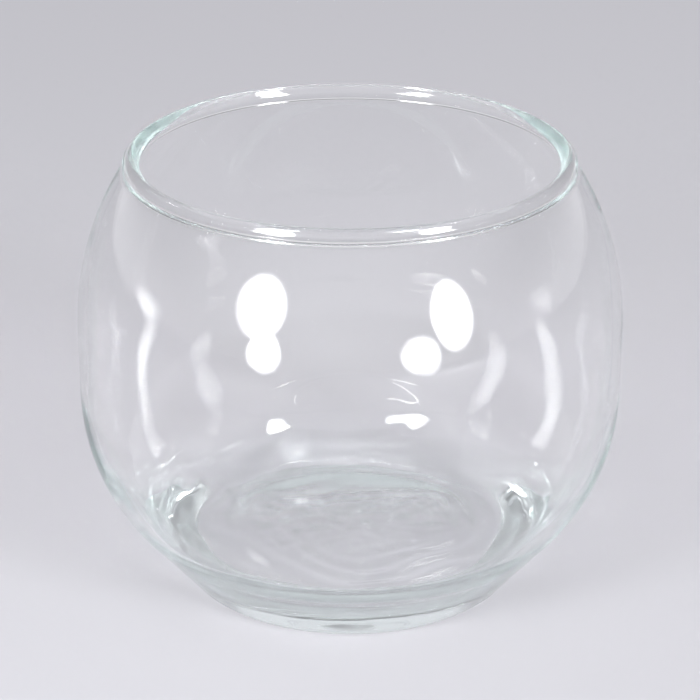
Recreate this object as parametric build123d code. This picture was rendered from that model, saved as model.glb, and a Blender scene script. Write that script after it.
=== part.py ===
from build123d import *
import os
from math import atan2, cos, pi, radians, sin, tan

# A clear glass rose bowl, blown in one piece: one section of the glass turned about the upright axis.
# Millimetres, +Z up, origin on the table at the middle of the foot.

# Outside of the bowl
belly_diameter = 114.3
bowl_height = 93.7
rim_diameter = 93.3  # outside, over the bead
foot_diameter = 70.0  # where the line of the flank meets the table
flank_height = 26.0  # where the line of the flank meets the upright of the belly
belly_radius = 44.0  # rounding from the flank up into the belly
shoulder_height = 56.5  # where the upright belly starts to lean in

# Rim, melted round by a flame
bead_diameter = 3.5
bead_blend = 1.2  # hollow rounding between the bead and the wall

# Thickness of the glass
rim_wall = 2.0
belly_wall = 1.7
flank_gain = 0.8  # how far the inner flank is lifted off the outer one's curve, to thicken the glass downwards

# Inside of the bowl
inner_turn = 33.0  # lean of the inner flank, in degrees, where it turns into the heel
inner_heel_radius = 18.0  # rounding from the flank down into the floor
floor_height = 8.4  # middle of the dished floor above the table

# Underside
heel_radius = 3.0
ring_width = 4.5  # flat ring that the bowl stands on
push_up = 1.8  # rise of the hollow underside at its middle

room_share = 0.98  # most of the room for a rounding that it may take
corner_tolerance = 0.001


def rounding(radius, flank_end, corner, free_end):
    """The radius asked for, or the largest that fits: half of the flank and most of the other leg."""
    flank = Vector(corner) - Vector(flank_end)
    free_leg = Vector(free_end) - Vector(corner)
    turn = radians(flank.get_angle(free_leg))
    return min(radius, room_share * min(flank.length / 2, free_leg.length) / tan(turn / 2))


# Points of the section are radius and height.
belly = belly_diameter / 2
foot = foot_diameter / 2
flank_lean = atan2(belly - foot, flank_height)

# The hollow underside and the ring it leaves
ring_outside = foot - heel_radius * tan((pi / 2 - flank_lean) / 2)
ring_inside = ring_outside - ring_width
underside_middle = (0, push_up)
ring_edge = (ring_inside, 0)

# Outer wall, from the heel up to the shoulder
heel_corner = (foot, 0)
belly_corner = (belly, flank_height)
shoulder = (belly, shoulder_height)

# Bead, and the wall that runs into it square to its own lean
bead_centre = Vector((rim_diameter - bead_diameter) / 2, bowl_height - bead_diameter / 2)
rim_lean = 2 * atan2(belly - bead_centre.X, bead_centre.Y - shoulder_height)
half_rim_wall = Vector(cos(rim_lean), sin(rim_lean)) * (rim_wall / 2)
rim_outer = bead_centre + half_rim_wall
rim_inner = bead_centre - half_rim_wall

# Inner wall: an arc about a centre just above that of the outer belly, the heel's arc, and the arc of the floor,
# each starting in the direction in which the one before it ends
belly_arc = rounding(belly_radius, heel_corner, belly_corner, shoulder)
belly_centre = Vector(belly - belly_arc, flank_height + belly_arc * tan(flank_lean / 2))
inner_belly = belly - belly_wall
inner_belly_arc = belly_arc - belly_wall
inner_belly_centre = belly_centre + Vector(0, flank_gain)
inner_belly_top = inner_belly_centre + Vector(inner_belly_arc, 0)
turn = radians(inner_turn)
turn_out = Vector(cos(turn), -sin(turn))
turn_down = Vector(-sin(turn), -cos(turn))
turn_point = inner_belly_centre + turn_out * inner_belly_arc
flat_floor_heel = (turn_point.Y - floor_height) / (1 - sin(turn))
inner_heel_arc = min(inner_heel_radius, room_share * flat_floor_heel)
inner_heel_centre = turn_point - turn_out * inner_heel_arc
heel_rise = inner_heel_centre.Y - floor_height
floor_arc = (inner_heel_centre.X**2 + heel_rise**2 - inner_heel_arc**2) / (2 * (heel_rise - inner_heel_arc))
floor_middle = Vector(0, floor_height)
floor_centre = floor_middle + Vector(0, floor_arc)
floor_edge = floor_centre + (inner_heel_centre - floor_centre).normalized() * floor_arc
inner_shoulder = (inner_belly, shoulder_height)

with BuildPart() as glass_bowl:
    with BuildSketch(Plane.XZ) as section:
        with BuildLine():
            TangentArc(underside_middle, ring_edge, tangent=(1, 0))
            FilletPolyline(
                ring_edge,
                heel_corner,
                belly_corner,
                shoulder,
                radius=[heel_radius, belly_arc],
            )
            TangentArc(shoulder, rim_outer, tangent=(0, 1))
            Line(rim_outer, rim_inner)
            TangentArc(inner_shoulder, rim_inner, tangent=(0, 1))
            Line(inner_shoulder, inner_belly_top)
            TangentArc(inner_belly_top, turn_point, tangent=(0, -1))
            TangentArc(turn_point, floor_edge, tangent=turn_down)
            TangentArc(floor_middle, floor_edge, tangent=(1, 0))
            Line(floor_middle, underside_middle)
        make_face()
        with Locations(bead_centre):
            Circle(bead_diameter / 2)
        bead_corners = [
            corner
            for corner in section.vertices()
            if abs((corner.center() - bead_centre).length - bead_diameter / 2) < corner_tolerance
        ]
        fillet(bead_corners, bead_blend)
    revolve(axis=Axis.Z)

os.makedirs("parts", exist_ok=True)
export_step(glass_bowl.part, "parts/glass_bowl.step")
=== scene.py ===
from math import atan2, ceil, cos, pi, radians, sin, sqrt, tan

import bmesh
import bpy
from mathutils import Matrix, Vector, noise


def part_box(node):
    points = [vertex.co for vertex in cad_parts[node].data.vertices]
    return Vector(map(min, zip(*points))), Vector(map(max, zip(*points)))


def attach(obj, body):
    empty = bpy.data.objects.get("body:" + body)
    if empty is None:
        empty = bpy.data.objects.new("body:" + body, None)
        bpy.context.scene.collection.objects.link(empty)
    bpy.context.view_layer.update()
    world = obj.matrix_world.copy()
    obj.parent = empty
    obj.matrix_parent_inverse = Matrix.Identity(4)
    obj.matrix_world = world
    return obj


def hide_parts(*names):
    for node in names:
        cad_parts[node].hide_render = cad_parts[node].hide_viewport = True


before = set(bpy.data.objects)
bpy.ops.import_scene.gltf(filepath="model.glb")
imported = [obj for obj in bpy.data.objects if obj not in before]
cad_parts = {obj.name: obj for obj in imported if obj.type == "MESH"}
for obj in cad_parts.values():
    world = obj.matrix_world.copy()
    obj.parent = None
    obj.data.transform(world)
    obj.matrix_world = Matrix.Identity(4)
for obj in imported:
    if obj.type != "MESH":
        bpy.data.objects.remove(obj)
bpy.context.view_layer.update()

# A clear blown-glass rose bowl on a pale light table, in metres. The bowl is one piece of glass: its
# section is drawn as lines and arcs, turned about the upright axis, and given the slight waves of blowing.

MM = 0.001

# Sizes of the bowl. The width and height are the frame's, and the rest are the solid's, apart from the wall
# just under the bead. That is 0.2 mm thinner on each face, which brings the rim's highlights nearer to the
# photograph.
bowl_low, bowl_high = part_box("glass_bowl")
BELLY = (bowl_high.x - bowl_low.x) / 2
HEIGHT = bowl_high.z
RIM = 46.65 * MM  # radius over the bead
FOOT = 35.0 * MM  # radius where the line of the flank meets the table
FLANK_HEIGHT = 26.0 * MM  # where that line meets the upright of the belly
BELLY_RADIUS = 44.0 * MM  # rounding from the flank up into the belly
SHOULDER_HEIGHT = 56.5 * MM  # where the upright belly starts to lean in
BEAD = 1.75 * MM  # radius of the bead
BEAD_BLEND = 1.2 * MM  # hollow rounding between the bead and the wall
RIM_OUTSIDE = 0.8 * MM  # from the middle of the bead to the outside of the wall under it
RIM_WALL = 1.6 * MM
BELLY_WALL = 1.7 * MM
INNER_LIFT = 0.8 * MM  # of the inner flank's curve over the outer one's, which thickens the glass downwards
INNER_TURN = radians(33.0)  # lean of the inner flank where it turns into the heel
INNER_HEEL_RADIUS = 18.0 * MM  # rounding from the inner flank down into the floor
FLOOR_HEIGHT = 8.4 * MM  # middle of the dished floor above the table
HEEL_RADIUS = 3.0 * MM
RING_WIDTH = 4.5 * MM  # flat ring that the bowl stands on
PUSH_UP = 1.8 * MM  # rise of the hollow underside at its middle

# Waves that the blowing leaves in the glass: how far off the turned shape, how long, and where they begin
WALL_WAVE = 0.09 * MM
WALL_WAVE_LENGTH = 24.0 * MM
WALL_WAVE_START = 4 * BEAD  # down from the top of the rim
WALL_WAVE_FULL = 20.0 * MM
FLOOR_RIPPLE = 0.16 * MM
FLOOR_RIPPLE_LENGTH = 7.5 * MM
FLOOR_RIPPLE_BEND = 0.9  # how far the rings are bent, in ripples
FLOOR_SWIRL_MIDDLE = Vector((4.0, -3.0, 0.0)) * MM
CHILL_MARK = 0.12 * MM
CHILL_MARK_LENGTH = 6.0 * MM
CHILL_MARK_START = 10.0 * MM  # in from the edge of the foot
CHILL_MARK_FULL = 16.0 * MM
HEEL_WAVE = 0.15 * MM
HEEL_WAVE_LENGTH = 11.0 * MM
RIM_SAG = 0.15 * MM
RIM_SAG_TURN = 0.7  # shifts the sag round the rim, in radians
UNDERSIDE_FACING = -0.95  # what faces further down than this is the underside

# Haze of the underside: its roughness, and the heights between which it ends
UNDERSIDE_HAZE = 0.22
HAZE_FULL = PUSH_UP + 0.2 * MM
HAZE_END = PUSH_UP + 1.0 * MM

# Fineness of the mesh
TURN_STEPS = 256
LONG_STEP = 1.2 * MM
FLOOR_STEP = 0.8 * MM
SHORT_STEP = 0.35 * MM
MERGE_DISTANCE = 0.01 * MM

TABLE_RADIUS = 4.0
TABLE_SIDES = 96

# The camera of the photograph, which is 700 pixels wide and high
CAMERA_ELEVATION = radians(23.563)
CAMERA_DISTANCE = 550.6 * MM
CAMERA_AIM_HEIGHT = 49.16 * MM
FOCAL_PIXELS = 2600.0
IMAGE_PIXELS = 700.0
SENSOR = 36.0

# Brightness of the room, in front of the bowl on the camera's side and behind it
HORIZON_IN_FRONT = 0.55
HORIZON_BEHIND = 0.9
WALLS_IN_FRONT = 1.0
WALLS_BEHIND = 0.17
CEILING = 0.9

# Where one brightness runs over into the next, along a unit bearing: Y from front to back, or Z upwards
HORIZON_TURNS_Y = (-0.7, 0.1)
WALLS_TURN_Y = (-0.9, 0.1)
WALLS_START_Z = (0.0, 0.4)
CEILING_STARTS_Z = (0.6, 0.9)

# A lamp's face, in shares of its width: it is even up to the first and dark from the second on
LAMP_FADE_START = 0.3
LAMP_EDGE = 0.5

# Light passes many walls of glass, so its path is not cut short
GLASS_BOUNCES = 200


def linear(hex_colour):
    """The linear red, green, blue and alpha of an sRGB hex colour."""
    channels = [int(hex_colour[i:i + 2], 16) / 255 for i in (1, 3, 5)]
    return [c / 12.92 if c <= 0.04045 else ((c + 0.055) / 1.055) ** 2.4 for c in channels] + [1.0]


def node(tree, kind, inputs=(), **settings):
    """Adds a node with its settings and the values or links of its inputs."""
    made = tree.nodes.new(kind)
    for name, value in settings.items():
        setattr(made, name, value)
    for name, value in dict(inputs).items():
        if isinstance(value, bpy.types.NodeSocket):
            tree.links.new(value, made.inputs[name])
        else:
            made.inputs[name].default_value = value
    return made


class Section:
    """A chain of edges in the XZ plane, drawn from one vertex by lines and arcs."""

    def __init__(self, start):
        self.mesh = bmesh.new()
        self.tip = self.mesh.verts.new((start.x, 0, start.y))

    def here(self):
        return Vector((self.tip.co.x, self.tip.co.z))

    def line(self, end, step=LONG_STEP):
        start = self.here()
        count = max(1, ceil((end - start).length / step))
        for i in range(count):
            point = start.lerp(end, (i + 1) / count)
            self.tip = bmesh.ops.extrude_vert_indiv(self.mesh, verts=[self.tip])["verts"][0]
            self.tip.co = (point.x, 0, point.y)

    def arc(self, centre, end, way, step=LONG_STEP):
        """Turns the tip about a centre until it points at the end, the left way round if way is 1."""
        start, end = self.here() - centre, end - centre
        turn = (atan2(end.y, end.x) - atan2(start.y, start.x)) * way % (2 * pi)
        made = bmesh.ops.spin(
            self.mesh,
            geom=[self.tip],
            cent=(centre.x, 0, centre.y),
            axis=(0, -1, 0),
            angle=turn * way,
            steps=max(2, ceil(turn * start.length / step)),
        )
        self.tip = made["geom_last"][0]


def circle_through(start, end):
    """Centre of the circle that leaves start straight up and passes through end."""
    across, up = start.x - end.x, end.y - start.y
    return Vector((start.x - (across ** 2 + up ** 2) / (2 * across), start.y))


def circles_meet(a, a_radius, b, b_radius, side):
    """A point at two distances from two centres, on the left of the way from a to b if side is 1."""
    between = b - a
    along = (a_radius ** 2 - b_radius ** 2 + between.length_squared) / (2 * between.length)
    aside = sqrt(a_radius ** 2 - along ** 2) * side
    ahead = between.normalized()
    return a + ahead * along + Vector((-ahead.y, ahead.x)) * aside


def bowl_section():
    """The section of the glass: underside, outer wall, bead, inner wall and floor."""
    lean = atan2(BELLY - FOOT, FLANK_HEIGHT)
    ring_outside = FOOT - HEEL_RADIUS * tan((pi / 2 - lean) / 2)
    ring_edge = Vector((ring_outside - RING_WIDTH, 0))
    underside = Vector((0, PUSH_UP))
    underside_centre = Vector((0, (PUSH_UP ** 2 - ring_edge.x ** 2) / (2 * PUSH_UP)))

    flank_out = Vector((cos(lean), -sin(lean)))
    heel_centre = Vector((ring_outside, HEEL_RADIUS))
    shoulder = Vector((BELLY, SHOULDER_HEIGHT))
    belly_end = Vector((BELLY, FLANK_HEIGHT + BELLY_RADIUS * tan(lean / 2)))
    belly_centre = belly_end - Vector((BELLY_RADIUS, 0))

    bead = Vector((RIM - BEAD, HEIGHT - BEAD))
    rim_lean = 2 * atan2(BELLY - bead.x, bead.y - SHOULDER_HEIGHT)
    across_wall = Vector((cos(rim_lean), sin(rim_lean)))
    rim_outer = bead + across_wall * RIM_OUTSIDE
    rim_inner = rim_outer - across_wall * RIM_WALL
    shoulder_centre = circle_through(shoulder, rim_outer)
    shoulder_radius = BELLY - shoulder_centre.x
    outer_blend = circles_meet(
        bead, BEAD + BEAD_BLEND, shoulder_centre, shoulder_radius + BEAD_BLEND, 1
    )

    inner_belly = BELLY - BELLY_WALL
    inner_shoulder = Vector((inner_belly, SHOULDER_HEIGHT))
    inner_shoulder_centre = circle_through(inner_shoulder, rim_inner)
    inner_shoulder_radius = inner_belly - inner_shoulder_centre.x
    inner_blend = circles_meet(
        bead, BEAD + BEAD_BLEND, inner_shoulder_centre, inner_shoulder_radius - BEAD_BLEND, 1
    )
    inner_belly_radius = BELLY_RADIUS - BELLY_WALL
    inner_belly_centre = belly_centre + Vector((0, INNER_LIFT))
    inner_belly_end = inner_belly_centre + Vector((inner_belly_radius, 0))
    inner_out = Vector((cos(INNER_TURN), -sin(INNER_TURN)))
    inner_heel_centre = inner_belly_centre + inner_out * (inner_belly_radius - INNER_HEEL_RADIUS)
    drop = inner_heel_centre.y - FLOOR_HEIGHT
    floor_radius = (
        inner_heel_centre.x ** 2 + drop ** 2 - INNER_HEEL_RADIUS ** 2
    ) / (2 * (drop - INNER_HEEL_RADIUS))
    floor_centre = Vector((0, FLOOR_HEIGHT + floor_radius))

    section = Section(underside)
    section.arc(underside_centre, ring_edge, -1, FLOOR_STEP)
    section.line(heel_centre - Vector((0, HEEL_RADIUS)))
    section.arc(heel_centre, heel_centre + flank_out, 1, SHORT_STEP)
    section.line(belly_centre + flank_out * BELLY_RADIUS)
    section.arc(belly_centre, belly_end, 1)
    section.line(shoulder)
    section.arc(shoulder_centre, outer_blend, 1)
    section.arc(outer_blend, bead, -1, SHORT_STEP)
    section.arc(bead, inner_blend, 1, SHORT_STEP)
    section.arc(inner_blend, inner_blend + (inner_blend - inner_shoulder_centre), -1, SHORT_STEP)
    section.arc(inner_shoulder_centre, inner_shoulder, -1)
    section.line(inner_belly_end)
    section.arc(inner_belly_centre, inner_belly_centre + inner_out, -1)
    section.arc(inner_heel_centre, inner_heel_centre + (inner_heel_centre - floor_centre), -1)
    section.arc(floor_centre, Vector((0, FLOOR_HEIGHT)), -1, FLOOR_STEP)
    return section


def fade(value, low, high):
    """Runs smoothly from 0 at the low value to 1 at the high one."""
    share = min(max((value - low) / (high - low), 0.0), 1.0)
    return share * share * (3 - 2 * share)


def swell(place, length):
    """A smooth rise and fall from about -1 to 1, with waves of about the given length."""
    return noise.noise(place * (2 / length))


def floor_swirl(place):
    """Ripples of the floor: rings about a point off the middle, bent and broken by slower waves."""
    out = (place - FLOOR_SWIRL_MIDDLE).xy.length / FLOOR_RIPPLE_LENGTH
    bend = swell(place, 4 * FLOOR_RIPPLE_LENGTH)
    strength = 0.5 + swell(place, 3 * FLOOR_RIPPLE_LENGTH)
    return sin(2 * pi * (out + FLOOR_RIPPLE_BEND * bend)) * strength


def blown_waves(place, facing):
    """How far the glass stands out from its turned shape at a place, the way that its surface faces."""
    radius = place.xy.length
    outwards = facing.xy.dot(place.xy) / max(radius, MM)
    if place.z > HEIGHT - WALL_WAVE_START or outwards > 0 and place.z > FLANK_HEIGHT:
        return 0.0
    if facing.z < UNDERSIDE_FACING:
        inside_ring = fade(FOOT - radius, CHILL_MARK_START, CHILL_MARK_FULL)
        return CHILL_MARK * swell(place, CHILL_MARK_LENGTH) * inside_ring
    if outwards > 0 and facing.z < 0:
        above_heel = fade(place.z, HEEL_RADIUS, 2 * HEEL_RADIUS)
        below_belly = fade(FLANK_HEIGHT - place.z, 0, FLANK_HEIGHT / 2)
        return HEEL_WAVE * (swell(place, HEEL_WAVE_LENGTH) - 1) / 2 * (above_heel * below_belly)
    below_rim = fade(HEIGHT - place.z, WALL_WAVE_START, WALL_WAVE_FULL)
    near_floor = fade(2 * FLOOR_HEIGHT - place.z, 0, FLOOR_HEIGHT / 2)
    wall = WALL_WAVE * swell(place, WALL_WAVE_LENGTH) * below_rim
    return wall + FLOOR_RIPPLE * floor_swirl(place) * near_floor


def blown_bowl(material):
    """The bowl: its section turned about the upright axis, with waves and a rim that sags a little."""
    mesh = bowl_section().mesh
    bmesh.ops.spin(
        mesh,
        geom=mesh.verts[:] + mesh.edges[:],
        cent=(0, 0, 0),
        axis=(0, 0, 1),
        angle=2 * pi,
        steps=TURN_STEPS,
        use_merge=True,
    )
    bmesh.ops.remove_doubles(mesh, verts=mesh.verts, dist=MERGE_DISTANCE)
    bmesh.ops.recalc_face_normals(mesh, faces=mesh.faces)
    mesh.normal_update()
    moves = [(vertex, vertex.normal * blown_waves(vertex.co, vertex.normal)) for vertex in mesh.verts]
    for vertex, move in moves:
        vertex.co += move
        around = atan2(vertex.co.y, vertex.co.x)
        sag = RIM_SAG * (1 + sin(2 * around + RIM_SAG_TURN)) / 2
        vertex.co.z -= sag * fade(vertex.co.z, SHOULDER_HEIGHT, HEIGHT)
    for face in mesh.faces:
        face.smooth = True
    data = bpy.data.meshes.new("glass_bowl_blown")
    mesh.to_mesh(data)
    mesh.free()
    data.materials.append(material)
    bowl = bpy.data.objects.new("blown_bowl", data)
    bpy.context.scene.collection.objects.link(bowl)
    return bowl


def clear_soda_lime_glass():
    """Clear blown glass: sharp gloss, blue-green where light has far to go, and a soft haze underneath."""
    material = bpy.data.materials.new("clear_soda_lime_glass")
    material.use_nodes = True
    tree = material.node_tree
    tree.nodes.clear()
    place = node(tree, "ShaderNodeTexCoord")
    axes = node(tree, "ShaderNodeSeparateXYZ", {"Vector": place.outputs["Object"]})
    underside_haze = node(tree, "ShaderNodeMapRange", {
        "Value": axes.outputs["Z"],
        "From Min": HAZE_FULL,
        "From Max": HAZE_END,
        "To Min": UNDERSIDE_HAZE,
        "To Max": 0.0,
    })
    surface = node(tree, "ShaderNodeBsdfPrincipled", {
        "Base Color": linear("#FFFFFF"),
        "Roughness": underside_haze.outputs["Result"],
        "IOR": 1.52,
        "Transmission Weight": 1.0,
    })
    inside = node(tree, "ShaderNodeVolumeAbsorption", {
        "Color": linear("#4BA89E"),
        "Density": 2.8,
    })
    node(tree, "ShaderNodeOutputMaterial", {
        "Surface": surface.outputs["BSDF"],
        "Volume": inside.outputs["Volume"],
    })
    return material


def pale_light_table():
    """A matt light table: its faint glow keeps it nearly as bright under the bowl as around it."""
    material = bpy.data.materials.new("pale_light_table")
    material.use_nodes = True
    tree = material.node_tree
    tree.nodes.clear()
    surface = node(tree, "ShaderNodeBsdfPrincipled", {
        "Base Color": linear("#A4A4A8"),
        "Emission Color": linear("#FAF9FF"),
        "Emission Strength": 0.26,
        "Roughness": 0.8,
        "Specular IOR Level": 0.0,
    })
    node(tree, "ShaderNodeOutputMaterial", {"Surface": surface.outputs["BSDF"]})
    return material


def table(material):
    """A round table top that runs out of sight on every side."""
    mesh = bmesh.new()
    bmesh.ops.create_circle(mesh, cap_ends=True, segments=TABLE_SIDES, radius=TABLE_RADIUS)
    data = bpy.data.meshes.new("table_top")
    mesh.to_mesh(data)
    mesh.free()
    data.materials.append(material)
    top = bpy.data.objects.new("table_top", data)
    bpy.context.scene.collection.objects.link(top)
    return top


def towards(azimuth, elevation):
    """Unit vector from the bowl towards a bearing: 0 is the camera's side, positive is to its right."""
    return Vector((sin(azimuth) * cos(elevation), -cos(azimuth) * cos(elevation), sin(elevation)))


def lamp(name, azimuth, elevation, distance, width, height, radiance):
    """A soft oval lamp that looks at the bowl and fades at its edge, placed in degrees and metres."""
    light = bpy.data.lights.new(name, "AREA")
    light.shape = "ELLIPSE"
    light.size = width
    light.size_y = height
    light.energy = radiance * pi * (pi * width * height / 4)
    light.use_nodes = True
    tree = light.node_tree
    tree.nodes.clear()
    place = node(tree, "ShaderNodeNewGeometry")
    flat = node(tree, "ShaderNodeVectorMath", {
        0: place.outputs["Parametric"],
        1: (1, 1, 0),
    }, operation="MULTIPLY")
    off_middle = node(tree, "ShaderNodeVectorMath", {
        0: flat.outputs["Vector"],
        1: (0.5, 0.5, 0),
    }, operation="DISTANCE")
    face = node(tree, "ShaderNodeMapRange", {
        "Value": off_middle.outputs["Value"],
        "From Min": LAMP_FADE_START,
        "From Max": LAMP_EDGE,
        "To Min": 1.0,
        "To Max": 0.0,
    }, interpolation_type="SMOOTHSTEP")
    glow = node(tree, "ShaderNodeEmission", {"Strength": face.outputs["Result"]})
    node(tree, "ShaderNodeOutputLight", {"Surface": glow.outputs["Emission"]})
    back = towards(radians(azimuth), radians(elevation))
    thing = bpy.data.objects.new(name, light)
    thing.location = Vector((0, 0, HEIGHT / 2)) + back * distance
    thing.rotation_euler = back.to_track_quat("Z", "Y").to_euler()
    bpy.context.scene.collection.objects.link(thing)


def room_light():
    """Soft light from a pale room: its walls are bright behind the camera and dim behind the bowl."""
    world = bpy.data.worlds.new("room")
    world.use_nodes = True
    tree = world.node_tree
    tree.nodes.clear()
    place = node(tree, "ShaderNodeTexCoord")
    axes = node(tree, "ShaderNodeSeparateXYZ", {"Vector": place.outputs["Generated"]})
    horizon = node(tree, "ShaderNodeMapRange", {
        "Value": axes.outputs["Y"],
        "From Min": HORIZON_TURNS_Y[0],
        "From Max": HORIZON_TURNS_Y[1],
        "To Min": HORIZON_IN_FRONT,
        "To Max": HORIZON_BEHIND,
    }, interpolation_type="SMOOTHSTEP")
    walls = node(tree, "ShaderNodeMapRange", {
        "Value": axes.outputs["Y"],
        "From Min": WALLS_TURN_Y[0],
        "From Max": WALLS_TURN_Y[1],
        "To Min": WALLS_IN_FRONT,
        "To Max": WALLS_BEHIND,
    }, interpolation_type="SMOOTHSTEP")
    up_the_walls = node(tree, "ShaderNodeMapRange", {
        "Value": axes.outputs["Z"],
        "From Min": WALLS_START_Z[0],
        "From Max": WALLS_START_Z[1],
    }, interpolation_type="SMOOTHSTEP")
    below_ceiling = node(tree, "ShaderNodeMix", {
        "Factor": up_the_walls.outputs["Result"],
        "A": horizon.outputs["Result"],
        "B": walls.outputs["Result"],
    })
    to_ceiling = node(tree, "ShaderNodeMapRange", {
        "Value": axes.outputs["Z"],
        "From Min": CEILING_STARTS_Z[0],
        "From Max": CEILING_STARTS_Z[1],
    }, interpolation_type="SMOOTHSTEP")
    level = node(tree, "ShaderNodeMix", {
        "Factor": to_ceiling.outputs["Result"],
        "A": below_ceiling.outputs["Result"],
        "B": CEILING,
    })
    sky = node(tree, "ShaderNodeBackground", {
        "Color": linear("#FBFAFF"),
        "Strength": level.outputs["Result"],
    })
    node(tree, "ShaderNodeOutputWorld", {"Surface": sky.outputs["Background"]})
    bpy.context.scene.world = world


def camera():
    """The camera at the photograph's place and angle."""
    data = bpy.data.cameras.new("camera")
    data.sensor_width = SENSOR
    data.lens = FOCAL_PIXELS / IMAGE_PIXELS * SENSOR
    data.clip_start = 0.01
    data.clip_end = 20.0
    back = towards(0, CAMERA_ELEVATION)
    thing = bpy.data.objects.new("camera", data)
    thing.location = Vector((0, 0, CAMERA_AIM_HEIGHT)) + back * CAMERA_DISTANCE
    thing.rotation_euler = back.to_track_quat("Z", "Y").to_euler()
    bpy.context.scene.collection.objects.link(thing)
    bpy.context.scene.camera = thing


bowl = blown_bowl(clear_soda_lime_glass())
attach(bowl, "root")
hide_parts("glass_bowl")

table(pale_light_table())
lamp("left_lamp", azimuth=-37.1, elevation=20.8, distance=0.50, width=0.197, height=0.220, radiance=26.0)
lamp("right_lamp", azimuth=43.2, elevation=15.8, distance=1.10, width=0.370, height=0.532, radiance=36.0)
room_light()
camera()

scene = bpy.context.scene
scene.view_settings.view_transform = "Standard"
scene.cycles.max_bounces = GLASS_BOUNCES
scene.cycles.transmission_bounces = GLASS_BOUNCES
scene.cycles.glossy_bounces = GLASS_BOUNCES
scene.cycles.blur_glossy = 0.0
scene.cycles.sample_clamp_indirect = 0.0
